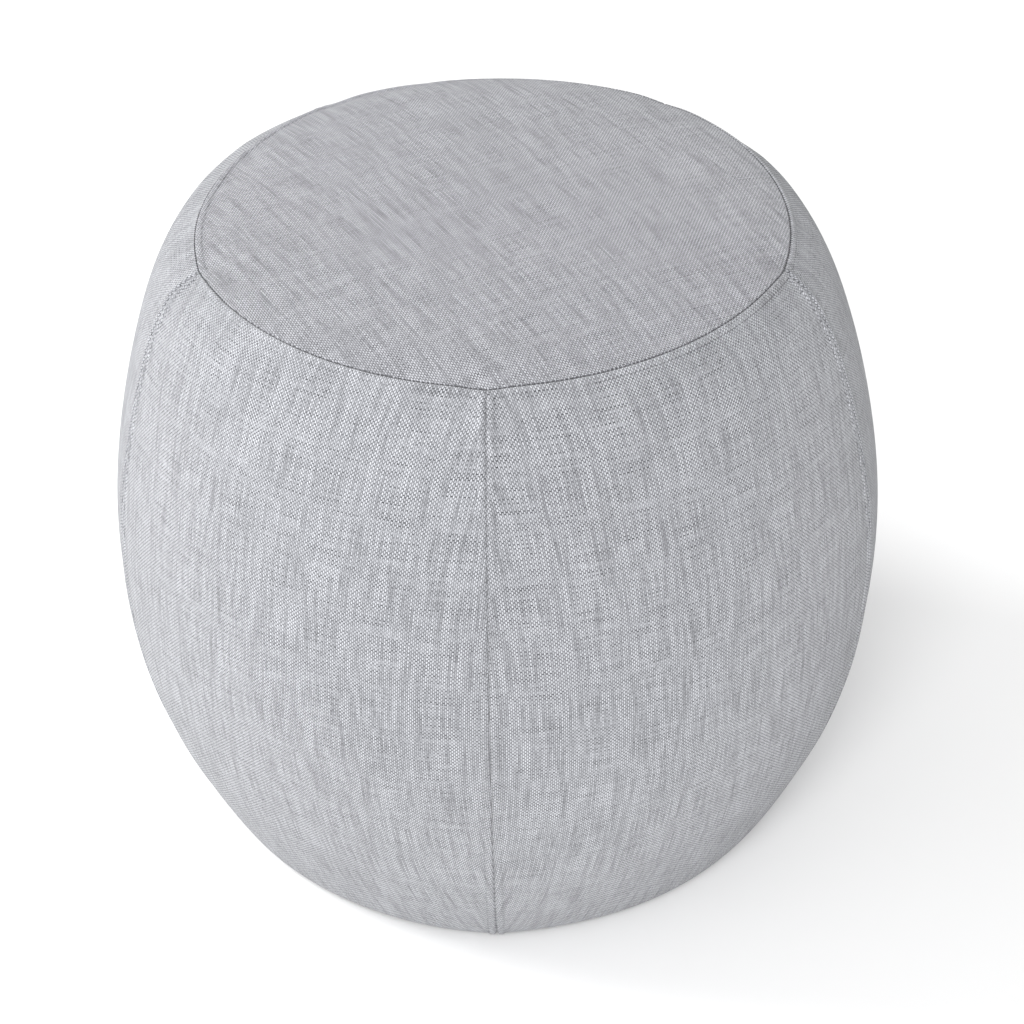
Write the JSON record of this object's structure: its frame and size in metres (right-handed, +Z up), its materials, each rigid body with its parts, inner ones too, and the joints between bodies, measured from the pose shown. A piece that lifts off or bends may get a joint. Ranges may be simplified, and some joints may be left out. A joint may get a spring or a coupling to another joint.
{
  "type": "pouf",
  "caption": "Barrel-shaped upholstered pouf: gored woven cover with a crowned round top over foam and wadding, zipped to a base on a plywood board with floor glides.",
  "frame": {"origin": "on the floor, at the pouf's vertical axis", "axes": "+Z up; the seam between the two front panels faces -Y; +X to the right of someone facing that seam"},
  "size_m": [0.498, 0.4997, 0.44],
  "materials": {
    "cover_fabric": "plain weave of light and mid grey melange yarns with slubs, matte",
    "base_cloth": "black non-woven base cloth, matte",
    "zip_tape": "grey woven zip tape, matte",
    "zip_coil": "grey nylon coil, satin",
    "zip_metal": "nickel-plated die casting, satin",
    "wadding": "white bonded polyester wadding, fluffy",
    "foam": "cream polyurethane foam, open cells",
    "plywood": "sanded birch plywood",
    "glide_plastic": "black moulded polypropylene, satin",
    "zinced_steel": "bright zinc plate"
  },
  "bodies": {
    "pouf": {"top_panel": "cover_fabric", "side_panel_front_right": "cover_fabric", "side_panel_right": "cover_fabric", "side_panel_back": "cover_fabric", "side_panel_left": "cover_fabric", "side_panel_front_left": "cover_fabric", "base_panel": "base_cloth", "zip_tape_outer": "zip_tape", "zip_tape_inner": "zip_tape", "zip_coil_outer": "zip_coil", "zip_coil_inner": "zip_coil", "zip_stops": "zip_metal", "top_wadding": "wadding", "side_wadding": "wadding", "seat_foam": "foam", "core_foam": "foam", "base_board": "plywood", "glide_front_right": "glide_plastic", "glide_back_right": "glide_plastic", "glide_back_left": "glide_plastic", "glide_front_left": "glide_plastic", "glide_screws": "zinced_steel", "tee_nuts": "zinced_steel"},
    "slider": {"zip_slider": "zip_metal"},
    "pull": {"zip_pull": "zip_metal"}
  },
  "joints": [
    {"name": "zip_travel", "type": "hinge", "parent": "pouf", "child": "slider", "pos_m": [0, 0, 0], "axis": [0, 0, 1], "range_deg": [0, 291.35]},
    {"name": "pull_swing", "type": "hinge", "parent": "slider", "child": "pull", "pos_m": [-0.08966, 0.13131, 0.011], "axis": [0.5639, -0.8259, 0], "range_deg": [-20, 156]}
  ]
}
